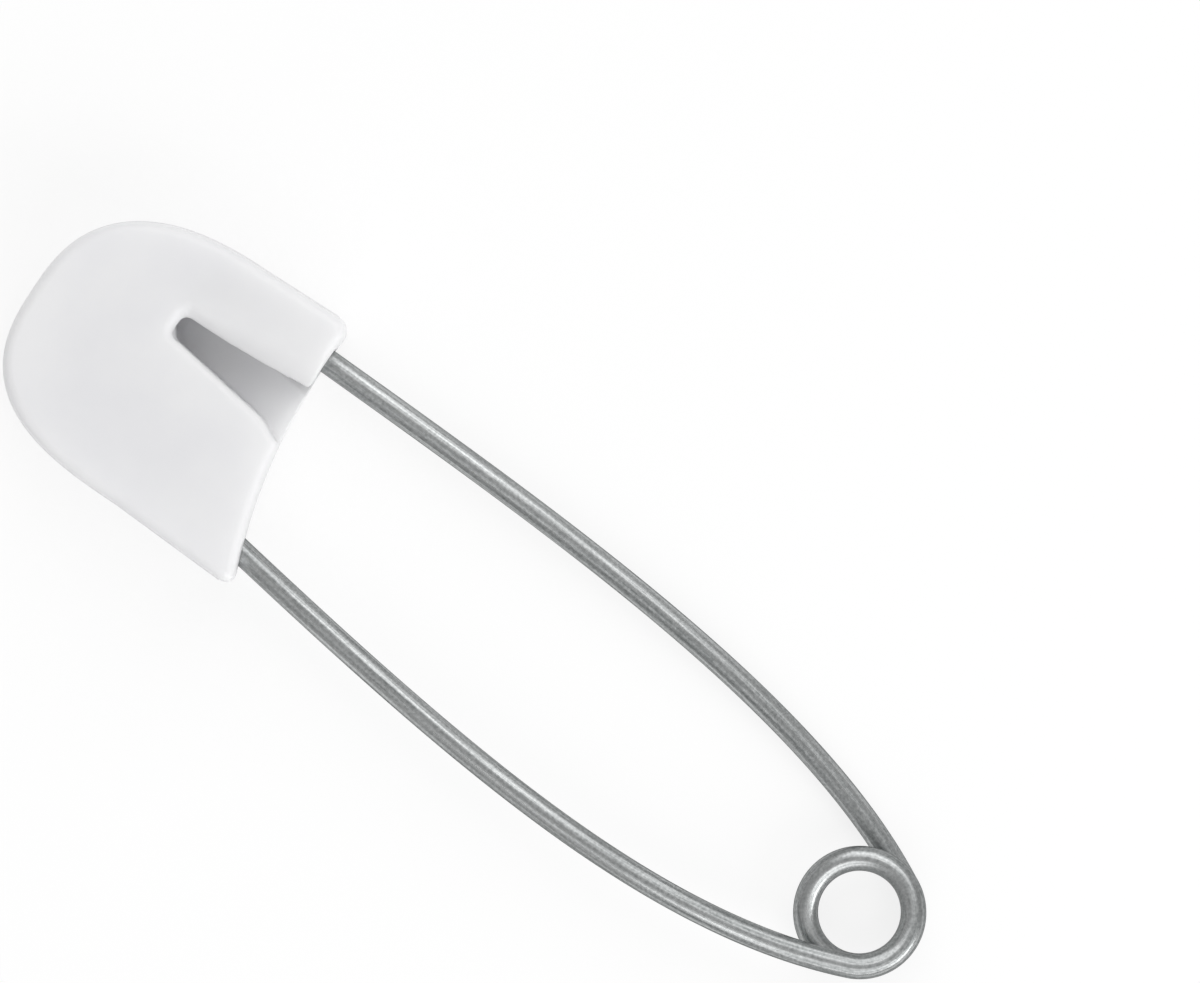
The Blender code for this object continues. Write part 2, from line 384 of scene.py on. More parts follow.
class NodeTool:
    """A Geometry Nodes tree with named inputs, and a way to run it into a plain mesh."""

    def __init__(self, name: str, inputs: dict[str, str]) -> None:
        """Starts the tree with its inputs, and one for the finish.

        Args:
            name: the tree's name.
            inputs: each input's name and the kind of socket that it has.
        """
        self.tree = bpy.data.node_groups.new(name, "GeometryNodeTree")
        sockets = {"Geometry": "NodeSocketGeometry", **inputs, "Finish": "NodeSocketMaterial"}
        for label, kind in sockets.items():
            self.tree.interface.new_socket(label, in_out="INPUT", socket_type=kind)
        self.tree.interface.new_socket("Geometry", in_out="OUTPUT", socket_type="NodeSocketGeometry")
        self.given = add(self.tree, "NodeGroupInput").outputs

    def end(self, geometry: bpy.types.NodeSocket) -> None:
        """Ends the tree with this geometry, as real faces with their finish.

        Args:
            geometry: the output that holds the geometry.
        """
        real = add(self.tree, "GeometryNodeRealizeInstances", {"Geometry": geometry})
        dressed = add(
            self.tree,
            "GeometryNodeSetMaterial",
            {"Geometry": real.outputs["Geometry"], "Material": self.given["Finish"]},
        )
        add(self.tree, "NodeGroupOutput", {"Geometry": dressed.outputs["Geometry"]})

    def run(self, name: str, start: bpy.types.Mesh, values: dict[str, object]) -> bpy.types.Object:
        """Runs the tree on a mesh and keeps what it makes as a plain mesh.

        Args:
            name: the new piece's name.
            start: the mesh that the tree starts from.
            values: the tree's inputs by name.

        Returns:
            The finished piece, at the origin and with no modifier.
        """
        guide = put(f"{name} guide", start)
        modifier = guide.modifiers.new(self.tree.name, "NODES")
        modifier.node_group = self.tree
        for item in self.tree.interface.items_tree:
            if item.in_out == "INPUT" and item.name in values:
                modifier[item.identifier] = values[item.name]
        piece = plain_copy(guide, name)
        bpy.data.objects.remove(guide)
        return piece


def plain_copy(source: bpy.types.Object, name: str) -> bpy.types.Object:
    """Turns an object, as its modifiers leave it, into a new one with a plain mesh.

    Args:
        source: the object with its modifiers.
        name: the new object's name.

    Returns:
        The new object.
    """
    graph = bpy.context.evaluated_depsgraph_get()
    mesh = bpy.data.meshes.new_from_object(source.evaluated_get(graph))
    mesh.name = name
    return put(name, mesh)


class WireTool(NodeTool):
    """A tree that draws a round wire along a line of edges."""

    def __init__(self, name: str, inputs: dict[str, str]) -> None:
        """Starts the tree with its own inputs and the wire's.

        Args:
            name: the tree's name.
            inputs: each input's name and the kind of socket that it has.
        """
        number = "NodeSocketFloat"
        wire = {"Radius": number, "Sides": "NodeSocketInt", "Length Before": number}
        super().__init__(name, {**inputs, **wire})

    def sweep(self, edges: bpy.types.NodeSocket) -> None:
        """Draws the wire and ends the tree.

        The wire's grain attribute holds each point's place round it in X and Y, and along it
        in Z.

        Args:
            edges: the line of edges, with a thickness share at each point.
        """
        tree, given = self.tree, self.given
        line = add(tree, "GeometryNodeMeshToCurve", {"Mesh": edges})
        level = add(tree, "GeometryNodeSetCurveNormal", {"Curve": line.outputs["Curve"]}, mode="Z_UP")
        size = {"Resolution": given["Sides"], "Radius": given["Radius"]}
        ring = add(tree, "GeometryNodeCurvePrimitiveCircle", size)
        place = add(tree, "GeometryNodeSplineParameter").outputs
        reached = {0: place["Length"], 1: given["Length Before"]}
        drawn = add(tree, "ShaderNodeMath", reached, operation="ADD")
        turned = add(tree, "ShaderNodeMath", {0: place["Factor"], 1: FULL_TURN}, operation="MULTIPLY")
        path, profile = (
            add(
                tree,
                "GeometryNodeStoreNamedAttribute",
                {"Geometry": curve.outputs["Curve"], "Name": label, "Value": value.outputs[0]},
                domain="POINT",
            ).outputs["Geometry"]
            for curve, label, value in ((level, ALONG, drawn), (ring, AROUND, turned))
        )
        along, around, thickness = (
            add(tree, "GeometryNodeInputNamedAttribute", {"Name": label}, data_type="FLOAT")
            .outputs["Attribute"]
            for label in (ALONG, AROUND, THICKNESS)
        )
        tube = add(
            tree,
            "GeometryNodeCurveToMesh",
            {"Curve": path, "Profile Curve": profile, "Scale": thickness, "Fill Caps": True},
        )
        across = []
        for operation in ("COSINE", "SINE"):
            spoke = add(tree, "ShaderNodeMath", {0: around}, operation=operation).outputs[0]
            out = add(tree, "ShaderNodeMath", {0: spoke, 1: given["Radius"]}, operation="MULTIPLY")
            across.append(out.outputs[0])
        grain = add(tree, "ShaderNodeCombineXYZ", {"X": across[0], "Y": across[1], "Z": along})
        kept = add(
            tree,
            "GeometryNodeStoreNamedAttribute",
            {"Geometry": tube.outputs["Mesh"], "Name": GRAIN, "Value": grain.outputs["Vector"]},
            data_type="FLOAT_VECTOR",
            domain="POINT",
        ).outputs["Geometry"]
        for spare in (ALONG, AROUND, THICKNESS):
            rest = add(tree, "GeometryNodeRemoveAttribute", {"Geometry": kept, "Name": spare})
            kept = rest.outputs["Geometry"]
        # The wire's side is all quads, and only its flat ends have more corners.
        corners = add(tree, "GeometryNodeInputMeshFaceNeighbors").outputs["Vertex Count"]
        four = {"A": corners, "B": QUAD}
        side = add(tree, "FunctionNodeCompare", four, data_type="INT", operation="EQUAL")
        shading = {"Geometry": kept, "Shade Smooth": side.outputs["Result"]}
        smooth = add(tree, "GeometryNodeSetShadeSmooth", shading)
        self.end(smooth.outputs["Geometry"])


def path_tool() -> WireTool:
    """Builds the tree that draws a round wire along a path.

    Returns:
        A tool that starts from a mesh of edges with a thickness share at each point.
    """
    tool = WireTool("wire along a path", {})
    tool.sweep(tool.given["Geometry"])
    return tool


def edge_line(name: str, points: list[Vector], shares: list[float] | None = None) -> bpy.types.Mesh:
    """Makes a mesh of edges from point to point.

    Args:
        name: the mesh's name.
        points: the line's points.
        shares: the wire's thickness at each point, as a share of its full thickness.

    Returns:
        The mesh, with the shares as an attribute.
    """
    shares = shares or [1.0] * len(points)
    points = [points[0], true_end(points), *points[1:-1], true_end(points[::-1]), points[-1]]
    shares = [shares[0], shares[0], *shares[1:-1], shares[-1], shares[-1]]
    mesh = bpy.data.meshes.new(name)
    mesh.from_pydata(points, [(i, i + 1) for i in range(len(points) - 1)], [])
    kept = mesh.attributes.new(THICKNESS, "FLOAT", "POINT")
    kept.data.foreach_set("value", shares)
    return mesh


def true_end(points: list[Vector]) -> Vector:
    """A place just past a line's first point, so that the wire's end stands square to the curve.

    Args:
        points: a smooth line's points.

    Returns:
        The place, on the line's tangent at its first point.
    """
    # This is the tangent of the parabola through the first three points.
    tangent = points[1] * 4 - points[0] * 3 - points[2]
    return points[0] + tangent.normalized() * END_STEP


def cubic(start: Vector, first: Vector, second: Vector, end: Vector, steps: int) -> list[Vector]:
    """Points along a cubic curve with these two handles.

    Args:
        start: the curve's start.
        first: the handle next to the start.
        second: the handle next to the end.
        end: the curve's end.
        steps: how many steps the curve has.

    Returns:
        One more point than there are steps.
    """
    points = []
    for step in range(steps + 1):
        far = step / steps
        near = 1 - far
        shares = (near**3, 3 * near**2 * far, 3 * near * far**2, far**3)
        weighed = [point * share for point, share in zip((start, first, second, end), shares)]
        points.append(sum(weighed, Vector((0, 0, 0))))
    return points


def unit(angle: float) -> Vector:
    """The flat direction at this angle from +X, in radians."""
    return Vector((math.cos(angle), math.sin(angle), 0))


def run_length(points: list[Vector]) -> float:
    """The length of a line through these points."""
    return sum((after - before).length for before, after in zip(points, points[1:]))


def eased(share: float) -> float:
    """A share from 0 to 1, eased at both ends."""
    return share * share * (3 - 2 * share)


@dataclass
class Layout:
    """Where the wire and the cap meet, in cap coordinates."""

    hinge: Vector
    cap_length: float = 15.3 * MM
    mouth_width: float = 14.3 * MM
    mouth_slant: float = math.radians(9.5)
    coil_to_cap_end: float = 51.8 * MM
    coil_side_offset: float = 3.0 * MM
    arm_inset: float = 2.0 * MM
    pin_angle: float = math.radians(-1.8)
    fixed_angle: float = math.radians(-9.5)
    wire_radius: float = 0.625 * MM
    back_wall: float = 0.9 * MM
    seat_clearance: float = 0.125 * MM

    @property
    def coil_centre(self) -> Vector:
        """The coil's centre, with no height."""
        return Vector((self.coil_to_cap_end, -self.coil_side_offset, 0))

    @property
    def seat_height(self) -> float:
        """The height of the pin arm's centre line in the cap."""
        return self.back_wall + self.seat_clearance + self.wire_radius

    def to_row(self, points: list[Vector]) -> list[Vector]:
        """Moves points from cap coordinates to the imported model's frame.

        Args:
            points: points in cap coordinates.

        Returns:
            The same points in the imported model's frame.
        """
        shift = self.coil_centre - Vector((self.hinge.x, self.hinge.y, 0))
        return [point - shift for point in points]

    def mouth_x(self, y: float) -> float:
        """Where the straight line across the cap's mouth stands at this Y."""
        return self.cap_length - y * math.tan(self.mouth_slant)

    def pin_entry(self) -> Vector:
        """Where the pin arm's centre line crosses the line of the mouth, on the flat."""
        y = self.mouth_width / 2 - self.arm_inset
        return Vector((self.mouth_x(y), y, 0))

    def fixed_entry(self) -> Vector:
        """Where the fixed arm's centre line crosses the line of the mouth, on the flat."""
        y = self.arm_inset - self.mouth_width / 2
        return Vector((self.mouth_x(y), y, 0))

    def seat(self, depth: float, inward: float, height: float = 0.0) -> Vector:
        """A place this deep in the cap from its mouth, and this far in from the pin arm's line.

        Args:
            depth: the distance in from the mouth, along the pin arm's line.
            inward: the distance from the pin arm's line towards the fixed arm.
            height: the height over the cap's back.

        Returns:
            The place in cap coordinates.
        """
        along = unit(self.pin_angle)
        across = Vector((along.y, -along.x, 0))
        place = self.pin_entry() - along * depth + across * inward
        return Vector((place.x, place.y, height))


@dataclass
class SpringWire:
    """The sprung wire: the fixed arm, the coil and the pin arm with its ground point."""

    layout: Layout
    sides: int = 40
    # The coil falls by its drop from the fixed arm to the pin arm, at the angles of the joins.
    mean_radius: float = 2.7 * MM
    drop: float = 2.4 * MM
    lead_share: float = 0.08
    fixed_join: float = math.radians(-68)
    pin_join: float = math.radians(61)
    coil_steps_per_turn: int = 120
    end_share: float = 0.05
    tail_margin: float = 0.6 * MM
    # Each arm bows between the cap and the coil, as one curve with two handles.
    handle_at_cap: float = 14.8 * MM
    handle_at_coil: float = 10.0 * MM
    arm_steps: int = 140
    # The ground point, from where it starts in the cap to its tip.
    point_depth: float = 5.8 * MM
    point_start: float = 0.4 * MM
    tip_diameter: float = 0.14 * MM
    point_steps: int = 36
    point_fullness: float = 1.25
    # The fixed arm's bent end, which the cap is moulded round.
    hook_bend_radius: float = 1.9 * MM
    hook_depth: float = 6.0 * MM
    hook_leg: float = 1.2 * MM
    hook_angle: float = math.radians(80)
    hook_steps: int = 30
    finish: DrawnSteel = field(default_factory=DrawnSteel)
    point_finish: DrawnSteel = field(default_factory=ground_steel)

    @property
    def wound(self) -> float:
        """How far the wire winds from the fixed arm to the pin arm, in radians."""
        return FULL_TURN + self.pin_join - self.fixed_join

    @property
    def first_share(self) -> float:
        """The share of the coil that is wound before it passes under the fixed arm."""
        return FULL_TURN / self.wound

    @property
    def top_height(self) -> float:
        """The height of the fixed arm's centre line."""
        return self.layout.wire_radius + self.drop

    def arm(self, entry: Vector, angle: float, join: float, side: int) -> list[Vector]:
        """An arm's centre line from the cap's mouth to the coil, on the flat.

        Args:
            entry: where the arm leaves the cap.
            angle: its direction there.
            join: the coil's angle where it meets the arm.
            side: +1 for the arm on the coil's upper side, and -1 for the lower.

        Returns:
            The arm's points, from the mouth to the coil.
        """
        end = self.layout.coil_centre + unit(join) * self.mean_radius
        first = entry + unit(angle) * self.handle_at_cap
        second = end - unit(join - side * QUARTER_TURN) * self.handle_at_coil
        return cubic(entry, first, second, end, self.arm_steps)

    def fixed_arm_points(self) -> list[Vector]:
        """The fixed arm's centre line.

        Returns:
            The arm's points, from its bent end in the cap to the coil.
        """
        entry, along = self.layout.fixed_entry(), unit(self.layout.fixed_angle)
        across = Vector((-along.y, along.x, 0))
        centre = entry - along * self.hook_depth + across * self.hook_bend_radius
        bend = []
        for step in range(self.hook_steps + 1):
            turn = self.hook_angle * step / self.hook_steps
            spoke = -across * math.cos(turn) - along * math.sin(turn)
            bend.append(centre + spoke * self.hook_bend_radius)
        leg = across * math.sin(self.hook_angle) - along * math.cos(self.hook_angle)
        line = [bend[-1] + leg * self.hook_leg] + bend[::-1]
        line += self.arm(entry, self.layout.fixed_angle, self.fixed_join, -1)
        return [Vector((point.x, point.y, self.top_height)) for point in line]

    def pin_arm_points(self) -> list[Vector]:
        """The pin arm's centre line.

        Returns:
            The arm's points, from the coil to where its ground point begins.
        """
        flat = self.arm(self.layout.pin_entry(), self.layout.pin_angle, self.pin_join, 1)
        low, high = self.layout.wire_radius, self.layout.seat_height
        arm = [
            Vector((point.x, point.y, high + (low - high) * eased(step / self.arm_steps)))
            for step, point in enumerate(flat)
        ]
        return arm[::-1] + [self.layout.seat(self.point_start, 0, high)]

    def point_points(self) -> tuple[list[Vector], list[float]]:
        """The ground point's points and its thickness shares.

        Returns:
            The points from the full wire to the tip, and the share of the wire's full
            thickness at each.
        """
        points, shares = [], []
        tip = self.tip_diameter / (2 * self.layout.wire_radius)
        for step in range(self.point_steps + 1):
            share = step / self.point_steps
            depth = self.point_start + (self.point_depth - self.point_start) * share
            points.append(self.layout.seat(depth, 0, self.layout.seat_height))
            shares.append(tip + (1 - tip) * (1 - share**self.point_fullness))
        return points, shares

    def coil_tool(self) -> WireTool:
        """Builds the tree that winds a stretch of the coil and draws the wire along it.

        Returns:
            A tool that makes the coil from its sizes alone.
        """
        numbers = (
            "Mean Radius",
            "Start Angle",
            "Wound Angle",
            "Lead Angle",
            "Start Height",
            "Drop",
            "From Share",
            "To Share",
            "End Share",
        )
        inputs = {"Centre": "NodeSocketVector", **dict.fromkeys(numbers, "NodeSocketFloat")}
        tool = WireTool("coil of sprung wire", {**inputs, "Steps": "NodeSocketInt"})
        tree, given = tool.tree, tool.given
        # The line has two tiny steps more than the whole ones, and a point more than steps.
        sums = [{0: given["Steps"], 1: more} for more in (2, 3)]
        last, count = (
            add(tree, "FunctionNodeIntegerMath", terms, operation="ADD").outputs[0]
            for terms in sums
        )
        line = add(tree, "GeometryNodeMeshLine", {"Count": count})
        known = {label: given[label] for label in (*numbers, "Steps")}
        known["last"] = last
        known["index"] = add(tree, "GeometryNodeInputIndex").outputs["Index"]
        for label, operation, *terms in (
            # The first and last steps are tiny, so that each end stands square to the coil.
            ("whole steps", "SUBTRACT", "index", 1.0),
            ("tiny steps", "MULTIPLY", "index", "End Share"),
            ("from start", "MAXIMUM", "whole steps", "tiny steps"),
            ("points left", "SUBTRACT", "last", "index"),
            ("tiny steps left", "MULTIPLY", "points left", "End Share"),
            ("furthest", "SUBTRACT", "Steps", "tiny steps left"),
            ("step", "MINIMUM", "from start", "furthest"),
            # Each point's place in the whole coil.
            ("part", "DIVIDE", "step", "Steps"),
            ("span", "SUBTRACT", "To Share", "From Share"),
            ("share", "MULTIPLY_ADD", "part", "span", "From Share"),
            ("turned", "MULTIPLY", "share", "Wound Angle"),
            ("angle", "ADD", "Start Angle", "turned"),
            # The wire falls evenly, but for an eased lead at either end.
            ("two leads", "MULTIPLY", "Lead Angle", 2.0),
            ("in lead", "MINIMUM", "turned", "Lead Angle"),
            ("in lead squared", "MULTIPLY", "in lead", "in lead"),
            ("eased in", "DIVIDE", "in lead squared", "two leads"),
            ("past lead", "SUBTRACT", "turned", "Lead Angle"),
            ("steady", "MAXIMUM", "past lead", 0.0),
            ("before end", "SUBTRACT", "Wound Angle", "Lead Angle"),
            ("past end", "SUBTRACT", "turned", "before end"),
            ("over", "MAXIMUM", "past end", 0.0),
            ("over squared", "MULTIPLY", "over", "over"),
            ("eased out", "DIVIDE", "over squared", "two leads"),
            ("with lead", "ADD", "eased in", "steady"),
            ("fallen angle", "SUBTRACT", "with lead", "eased out"),
            ("fallen share", "DIVIDE", "fallen angle", "before end"),
            ("fallen", "MULTIPLY", "fallen share", "Drop"),
            ("cosine", "COSINE", "angle"),
            ("sine", "SINE", "angle"),
            ("X", "MULTIPLY", "cosine", "Mean Radius"),
            ("Y", "MULTIPLY", "sine", "Mean Radius"),
            ("Z", "SUBTRACT", "Start Height", "fallen"),
        ):
            values = {place: known.get(term, term) for place, term in enumerate(terms)}
            known[label] = add(tree, "ShaderNodeMath", values, operation=operation).outputs[0]
        flat = add(tree, "ShaderNodeCombineXYZ", {axis: known[axis] for axis in "XYZ"})
        place = {0: flat.outputs["Vector"], 1: given["Centre"]}
        centred = add(tree, "ShaderNodeVectorMath", place, operation="ADD")
        wound = add(
            tree,
            "GeometryNodeSetPosition",
            {"Geometry": line.outputs["Mesh"], "Position": centred.outputs["Vector"]},
        )
        full = add(
            tree,
            "GeometryNodeStoreNamedAttribute",
            {"Geometry": wound.outputs["Geometry"], "Name": THICKNESS, "Value": 1.0},
            domain="POINT",
        )
        tool.sweep(full.outputs["Geometry"])
        return tool

    def build(self) -> None:
        """Makes the wire's pieces and rides each on its body, but for the coil's last stretch."""
        steel = self.finish.material()
        draw, wind = path_tool(), self.coil_tool()
        common = {"Radius": self.layout.wire_radius, "Sides": self.sides, "Finish": steel}

        line = self.layout.to_row(self.fixed_arm_points())
        fixed = draw.run("fixed_arm_wire", edge_line("fixed arm", line), common)
        self.hand_over(fixed, Body.FRAME, "fixed_arm")
        drawn = run_length(line)

        centre = self.layout.to_row([self.layout.coil_centre])[0]
        coil = {
            **common,
            "Centre": centre,
            "Mean Radius": self.mean_radius,
            "Start Angle": self.fixed_join,
            "Wound Angle": self.wound,
            "Lead Angle": self.lead_share * self.wound,
            "Start Height": self.top_height,
            "Drop": self.drop,
            "End Share": self.end_share,
        }
        for name, start, end in (
            ("coil_turn", 0.0, self.first_share),
            ("coil_tail", self.first_share, 1.0),
        ):
            swept = (end - start) * self.wound
            steps = math.ceil(swept / FULL_TURN * self.coil_steps_per_turn)
            stretch = {"From Share": start, "To Share": end, "Steps": steps, "Length Before": drawn}
            piece = wind.run(name, bpy.data.meshes.new(name), {**coil, **stretch})
            if name == "coil_turn":
                self.hand_over(piece, Body.FRAME, "spring_coil")
            else:
                self.bend_tail(piece)
            drawn += swept * self.mean_radius

        line = self.layout.to_row(self.pin_arm_points())
        arm = draw.run("pin_arm_wire", edge_line("pin arm", line), {**common, "Length Before": drawn})
        self.hand_over(arm, Body.PIN, "pin_arm")
        drawn += run_length(line)

        points, shares = self.point_points()
        tip = edge_line("ground point", self.layout.to_row(points), shares)
        ground = {**common, "Finish": self.point_finish.material()}
        point = draw.run("pin_arm_point", tip, {**ground, "Length Before": drawn})
        self.hand_over(point, Body.PIN)

    def hand_over(self, piece: bpy.types.Object, body: Body, *nodes: str) -> None:
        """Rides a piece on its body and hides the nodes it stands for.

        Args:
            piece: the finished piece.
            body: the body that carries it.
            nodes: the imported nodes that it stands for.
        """
        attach(piece, body.value)
        if nodes:
            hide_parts(*nodes)
        LOG.info("%s rides on %s, %d faces", piece.name, body.value, len(piece.data.polygons))

    def bend_tail(self, piece: bpy.types.Object) -> None:
        """Bakes the coil's last stretch into place, where it rides on no body.

        Args:
            piece: the coil's last stretch.
        """
        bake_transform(piece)
        LOG.info("%s winds up between frame and pin, %d faces", piece.name, len(piece.data.polygons))


@dataclass
class Cap:
    """The moulded cap: its body, its pocket, the slot and the hood beside it."""

    layout: Layout
    # The outline. A round power of 2 gives an ellipse's shoulder, and more a squarer one.
    body_width: float = 13.86 * MM
    body_shift: float = 0.3 * MM
    round_start: float = 0.2 * MM
    round_end: float = 9.6 * MM
    upper_round_power: float = 2.5
    lower_round_power: float = 2.9
    upper_corner: tuple[float, float] = (14.6 * MM, 7.33 * MM)
    lower_corner: tuple[float, float] = (16.85 * MM, -6.95 * MM)
    round_steps: int = 60
    side_steps: int = 16
    corner_reach: float = 0.82 * MM
    corner_share: float = 0.55
    corner_steps: int = 10
    mouth_hollow: float = 0.92 * MM
    mouth_steps: int = 50
    # The wall, which leans by its draft to either side of the mould's joint.
    thickness: float = 6.0 * MM
    edge_radius: float = 0.45 * MM
    edge_steps: int = 6
    draft: float = math.tan(math.radians(1.2))
    parting_radius: float = 0.04 * MM
    parting_sides: int = 12
    # The pocket, with the ramp that rises beside the pin arm's seat towards the mouth.
    ceiling: float = 5.2 * MM
    pocket_depth: float = 7.4 * MM
    ramp_foot: float = 0.5 * MM
    ramp_slope: float = 1.35
    ramp_rise: float = 2.0 * MM
    ramp_power: float = 0.45
    # The slot, from the hood's edge to its rounded lip, with a blunt end and a flared mouth.
    slot_depth: float = 7.1 * MM
    slot_width_at_mouth: float = 3.1 * MM
    slot_width_at_end: float = 1.25 * MM
    slot_steps: int = 24
    end_power: float = 3.2
    end_steps: int = 16
    flare: float = 0.4 * MM
    flare_length: float = 1.4 * MM
    lip_radius: float = 0.35 * MM
    # The hood. Its top slopes down to its inner edge, which leans out and dips at the mouth.
    hood_reach_at_mouth: float = 1.2 * MM
    hood_reach_at_end: float = 2.2 * MM
    hood_slope_at_mouth: float = 2.4 * MM
    hood_slope_at_end: float = 0.6 * MM
    slope_height_at_mouth: float = 0.8 * MM
    slope_height_at_end: float = 0.45 * MM
    slope_steps: int = 12
    hood_lead: float = 0.44 * MM
    hood_dip: float = 0.35 * MM
    dip_width: float = 1.1 * MM
    # How far the cutters lap over each other and run past the cap, and how its faces are evened.
    lap: float = 0.02 * MM
    overrun: float = 2.0 * MM
    socket_clearance: float = 0.06 * MM
    voxel: float = 0.1 * MM
    smoothing: float = 0.5
    smoothing_rounds: int = 3
    finish: MouldedPlastic = field(default_factory=MouldedPlastic)
    bead_finish: MouldedPlastic = field(default_factory=moulded_bead)

    def mouth_corners(self) -> tuple[Vector, Vector]:
        """The ends of the straight line across the mouth, the pin arm's side first."""
        return Vector((*self.upper_corner, 0)), Vector((*self.lower_corner, 0))

    def side(self, power: float, sign: int, corner: Vector) -> list[Vector]:
        """One side of the cap's wall, from the middle of its round end to a mouth corner.

        Args:
            power: how full the round end's shoulder is: 2 is an ellipse, more is squarer.
            sign: +1 for the pin arm's side, and -1 for the fixed arm's.
            corner: the mouth corner.

        Returns:
            The side's points.
        """
        length, half = self.round_end - self.round_start, self.body_width / 2
        points = []
        for step in range(self.round_steps + 1):
            turn = QUARTER_TURN * step / self.round_steps
            x = self.round_end - length * math.cos(turn) ** (2 / power)
            y = self.body_shift + sign * half * math.sin(turn) ** (2 / power)
            points.append(Vector((x, y, 0)))
        last = points[-1]
        for step in range(1, self.side_steps + 1):
            points.append(last.lerp(corner, step / self.side_steps))
        return points

    def clear_of_corners(self, line: list[Vector]) -> list[Vector]:
        """The points of a line that stand outside the cap's rounded mouth corners."""
        corners = self.mouth_corners()
        return [p for p in line if min((p - corner).length for corner in corners) > self.corner_reach]

    def wall_line(self) -> list[Vector]:
        """The cap's wall from its upper mouth corner round to its lower one.

        Returns:
            Points along the wall, as far as its rounded corners.
        """
        upper, lower = self.mouth_corners()
        high = self.side(self.upper_round_power, 1, upper)
        low = self.side(self.lower_round_power, -1, lower)
        return self.clear_of_corners(high[::-1] + low[1:])

    def outline(self) -> list[Vector]:
        """The cap's outline, counter-clockwise from its upper mouth corner.

        Returns:
            Points round the cap, closer together at the rounded mouth corners.
        """
        upper, lower = self.mouth_corners()
        chord = lower - upper
        inward = Vector((chord.y, -chord.x, 0)).normalized()
        mouth = []
        for step in range(self.mouth_steps + 1):
            share = step / self.mouth_steps
            # A parabola, which is deepest in the middle of the mouth.
            bow = 4 * self.mouth_hollow * share * (1 - share)
            mouth.append(upper + chord * share + inward * bow)
        mouth, wall = self.clear_of_corners(mouth), self.wall_line()
        share = self.corner_share
        low, high = (
            cubic(start, start.lerp(corner, share), end.lerp(corner, share), end, self.corner_steps)
            for start, corner, end in ((wall[-1], lower, mouth[-1]), (mouth[0], upper, wall[0]))
        )
        return wall + low[1:-1] + mouth[::-1] + high[1:-1]

    def inset(self, outline: list[Vector], distance: float, height: float) -> list[Vector]:
        """Moves an outline inwards by a distance, and to a height.

        Args:
            outline: a closed outline, counter-clockwise seen from above.
            distance: how far to move it in.
            height: the new height.

        Returns:
            As many points as the outline has.
        """
        moved = []
        for i, point in enumerate(outline):
            run = outline[(i + 1) % len(outline)] - outline[i - 1]
            normal = Vector((-run.y, run.x, 0)).normalized()
            moved.append(Vector((point.x, point.y, height)) + normal * distance)
        return moved

    def body_layers(self) -> list[list[Vector]]:
        """The cap's outer form in layers.

        Returns:
            Outlines from the back to the front, with a rounded edge at each.
        """
        outline, middle = self.outline(), self.thickness / 2
        layers = []
        for step in range(self.edge_steps + 1):
            turn = QUARTER_TURN * step / self.edge_steps
            height = self.edge_radius * (1 - math.cos(turn))
            inset = self.edge_radius * (1 - math.sin(turn)) + (middle - height) * self.draft
            layers.append((inset, height))
        layers += [(0.0, middle)] + [(inset, self.thickness - height) for inset, height in layers[::-1]]
        return [self.inset(outline, inset, height) for inset, height in layers]

    def tapered(self, at_mouth: float, at_end: float, depth: float) -> float:
        """A size that changes evenly from the mouth to the slot's end, at this depth."""
        return at_mouth + (at_end - at_mouth) * (depth / self.slot_depth)

    def hood_edge(self, depth: float) -> float:
        """How far the hood reaches in from the pin arm's line at this depth."""
        return self.tapered(self.hood_reach_at_mouth, self.hood_reach_at_end, depth)

    def lip_edge(self, depth: float) -> float:
        """How far in from the pin arm's line the slot's lip stands.

        Args:
            depth: the distance in from the mouth.

        Returns:
            The distance, which grows faster where the slot flares at the mouth.
        """
        width = self.tapered(self.slot_width_at_mouth, self.slot_width_at_end, depth)
        opening = min(max(1 - depth / self.flare_length, 0), 1)
        return self.hood_edge(depth) + width + self.flare * opening * opening

    def mouth_share(self, depth: float) -> float:
        """How near the mouth a depth is, from 0 at the slot's end to 1 at the mouth."""
        return min(max(1 - depth / self.slot_depth, 0), 1)

    def rolled(self, height: float, depth: float) -> float:
        """How far an edge that rolls over this deep has moved out at a height, as a share."""
        up = min(max((height - (self.thickness - depth)) / depth, 0), 1)
        return 1 - math.sqrt(1 - up * up)

    def lead_at(self, height: float, depth: float) -> float:
        """How far the hood's inner edge leans over the slot.

        Args:
            height: the height over the cap's back.
            depth: the distance in from the mouth.

        Returns:
            The distance, which is greatest at the mouth and at the edge's top.
        """
        low, high = self.ceiling - self.hood_dip, self.thickness - self.slope_height_at_mouth
        up = min(max((height - low) / (high - low), 0), 1)
        near = self.mouth_share(depth)
        return self.hood_lead * up * near * (2 - near)

    def hood_slope(self, height: float, near: float) -> float:
        """How far the hood's top has sloped back from its inner edge at a height.

        Args:
            height: the height over the cap's back.
            near: how near the mouth it is, from 0 to 1.

        Returns:
            A distance that is 0 at the edge and grows towards the flat top.
        """
        far = 1 - near
        deep = self.slope_height_at_mouth * near + self.slope_height_at_end * far
        wide = self.hood_slope_at_mouth * near + self.hood_slope_at_end * far
        up = min(max((height - (self.thickness - deep)) / deep, 0), 1)
        return wide * (1 - math.sqrt(1 - up))

